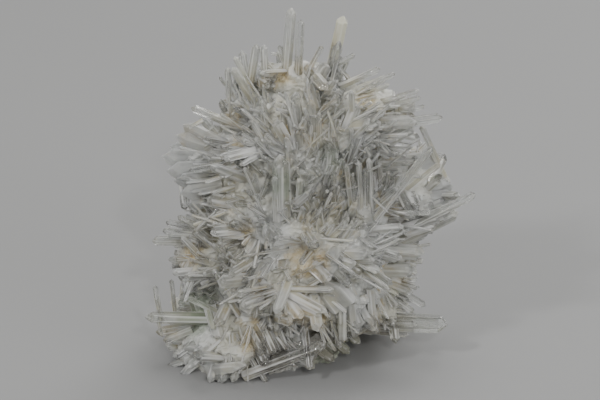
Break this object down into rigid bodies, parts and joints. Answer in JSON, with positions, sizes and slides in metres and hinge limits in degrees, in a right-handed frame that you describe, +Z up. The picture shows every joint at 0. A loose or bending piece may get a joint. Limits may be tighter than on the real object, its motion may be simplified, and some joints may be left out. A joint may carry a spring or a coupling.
{
  "type": "quartz crystal cluster",
  "caption": "Cluster of clear and milky hexagonal quartz crystals radiating from a rough quartz body, standing on a small flat foot.",
  "frame": {"origin": "middle of the cluster's box, on the surface it stands on", "axes": "+Z up, the best side faces -Y, +X to the right as seen from the best side"},
  "size_m": [0.1095, 0.069, 0.1225],
  "materials": {
    "quartz": "gloss"
  },
  "bodies": {
    "root": {"quartz_cluster": "quartz"}
  },
  "joints": []
}
